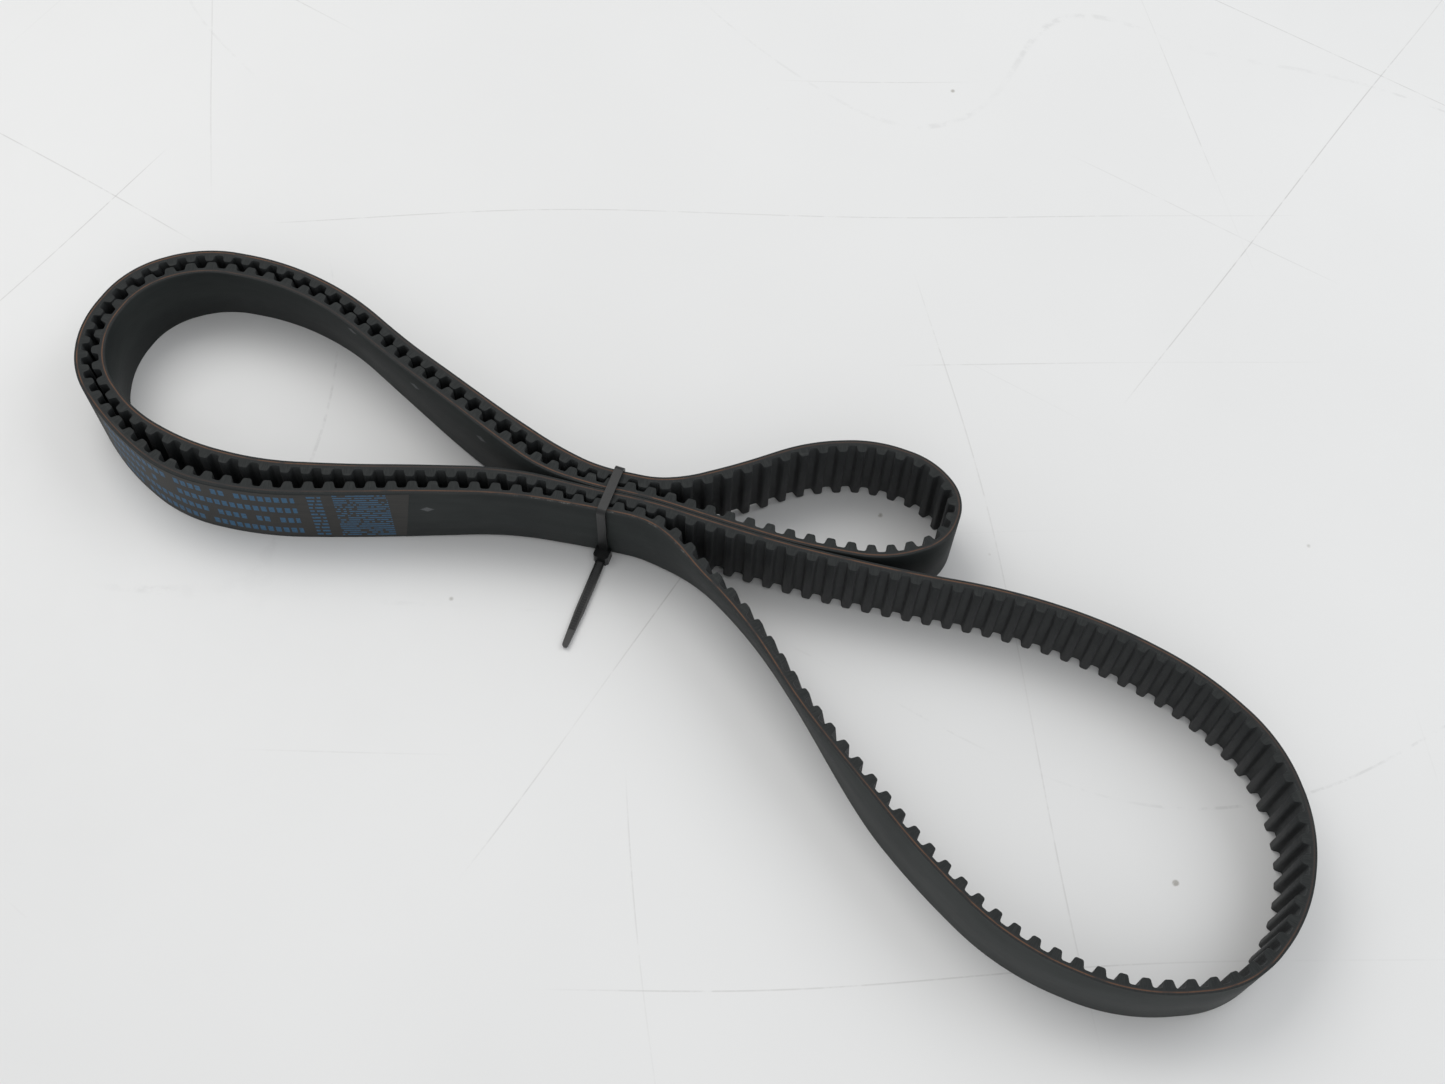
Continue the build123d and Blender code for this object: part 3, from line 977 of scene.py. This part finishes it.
class BELT_OT_band(Operator):
    """Build the printed band on the back"""

    bl_idname = "belt.band"
    bl_label = "Printed band"

    def execute(self, context):
        settings = context.scene.bundled_belt
        belt = current_belt()
        end = belt.near_mark - BAND_END_GAP
        start = end - BAND_LENGTH
        columns = int(BAND_LENGTH / settings.spacing)
        low, high = BAND_MARGIN, WIDTH - BAND_MARGIN
        rows = [
            (low, BAND_FOOT),
            (low, BAND_THICKNESS),
            (high, BAND_THICKNESS),
            (high, BAND_FOOT),
        ]
        grid, places = [], []
        share = np.linspace(0, 1, columns)
        for height, out in rows:
            stretch = BAND_LENGTH - settings.band_slant * (1 - height / WIDTH)
            along = start + share * stretch
            grid.append(belt.points(along, np.full(columns, BACK - out), np.full(columns, height)))
            places.append(np.stack([along, np.full(columns, height)], -1))
        index = np.arange(len(rows) * columns).reshape(len(rows), columns)
        faces = []
        for row in range(len(rows)):
            first, second = index[row], index[(row + 1) % len(rows)]
            faces.append(np.stack([first[:-1], first[1:], second[1:], second[:-1]], -1))
        faces.append(index[::-1, 0][None, :])
        faces.append(index[:, -1][None, :])
        faces = np.concatenate(faces)
        uvs = np.concatenate(places)[faces]
        shape = new_object(
            "belt_band",
            np.concatenate(grid),
            faces,
            uvs,
            [printed_film("printed film", start, end)],
            np.zeros(len(faces)),
            np.zeros(len(faces)),
        )
        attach(shape, "belt")
        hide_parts("printed_band")
        return {"FINISHED"}


class BELT_OT_tie(Operator):
    """Finish the cable tie and its pawl"""

    bl_idname = "belt.tie"
    bl_label = "Cable tie"

    def execute(self, context):
        material = nylon("nylon")
        for name in ("cable_tie", "tie_pawl"):
            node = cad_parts[name]
            node.data.materials.clear()
            node.data.materials.append(material)
        return {"FINISHED"}


class BELT_OT_stage(Operator):
    """Set up the ground, the lights and the camera"""

    bl_idname = "belt.stage"
    bl_label = "Stage"

    def execute(self, context):
        settings = context.scene.bundled_stage
        scene = context.scene
        bpy.ops.mesh.primitive_plane_add(size=TABLE_SIZE, location=(0, 0, 0))
        ground = context.object
        ground.name = "ground"
        ground.data.materials.append(table_top("table top"))
        world = bpy.data.worlds.new("studio")
        world.use_nodes = True
        background = world.node_tree.nodes["Background"]
        background.inputs["Color"].default_value = (0.98, 0.99, 1.0, 1)
        background.inputs["Strength"].default_value = settings.fill
        scene.world = world
        for name, place, size, share, color in LAMPS:
            data = bpy.data.lights.new(name, "AREA")
            data.energy = settings.light * share
            data.size = size
            data.color = color
            lamp = bpy.data.objects.new(name, data)
            lamp.location = place
            lamp.rotation_euler = (-Vector(place)).to_track_quat("-Z", "Y").to_euler()
            scene.collection.objects.link(lamp)
        middle = current_belt().middle * MM
        data = bpy.data.cameras.new("camera")
        data.lens = settings.lens
        data.sensor_width = 36.0
        data.clip_start = 0.01
        camera = bpy.data.objects.new("camera", data)
        level = Vector((1, 0, 0))
        ahead = Vector((0, math.cos(settings.pitch), -math.sin(settings.pitch)))
        above = level.cross(ahead)
        turn_cos, turn_sin = math.cos(settings.roll), math.sin(settings.roll)
        right = level * turn_cos + above * turn_sin
        up = above * turn_cos - level * turn_sin
        place = Vector(settings.camera) - Vector((middle[0], middle[1], 0))
        camera.matrix_world = Matrix(
            [(right[n], up[n], -ahead[n], place[n]) for n in range(3)] + [(0, 0, 0, 1)]
        )
        scene.collection.objects.link(camera)
        scene.camera = camera
        scene.view_settings.view_transform = "Standard"
        return {"FINISHED"}


class BELT_PT_panel(Panel):
    """The belt's settings and its steps"""

    bl_idname = "BELT_PT_panel"
    bl_label = "Bundled belt"
    bl_space_type = "VIEW_3D"
    bl_region_type = "UI"
    bl_category = "Belt"

    def draw(self, context):
        for group in (context.scene.bundled_belt, context.scene.bundled_stage):
            for name in group.__annotations__:
                self.layout.prop(group, name)
        for operator in OPERATORS:
            self.layout.operator(operator.bl_idname)


OPERATORS = (
    BELT_OT_back,
    BELT_OT_cords,
    BELT_OT_teeth,
    BELT_OT_band,
    BELT_OT_tie,
    BELT_OT_stage,
)
CLASSES = (BeltSettings, StageSettings, *OPERATORS, BELT_PT_panel)


def register():
    for entry in CLASSES:
        bpy.utils.register_class(entry)
    bpy.types.Scene.bundled_belt = PointerProperty(type=BeltSettings)
    bpy.types.Scene.bundled_stage = PointerProperty(type=StageSettings)


def unregister():
    del bpy.types.Scene.bundled_stage
    del bpy.types.Scene.bundled_belt
    for entry in reversed(CLASSES):
        bpy.utils.unregister_class(entry)


def main():
    """Builds every piece and the stage."""
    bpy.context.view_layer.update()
    register()
    bpy.ops.belt.back()
    bpy.ops.belt.cords()
    bpy.ops.belt.teeth()
    bpy.ops.belt.band()
    bpy.ops.belt.tie()
    bpy.ops.belt.stage()


if __name__ == "__main__":
    main()
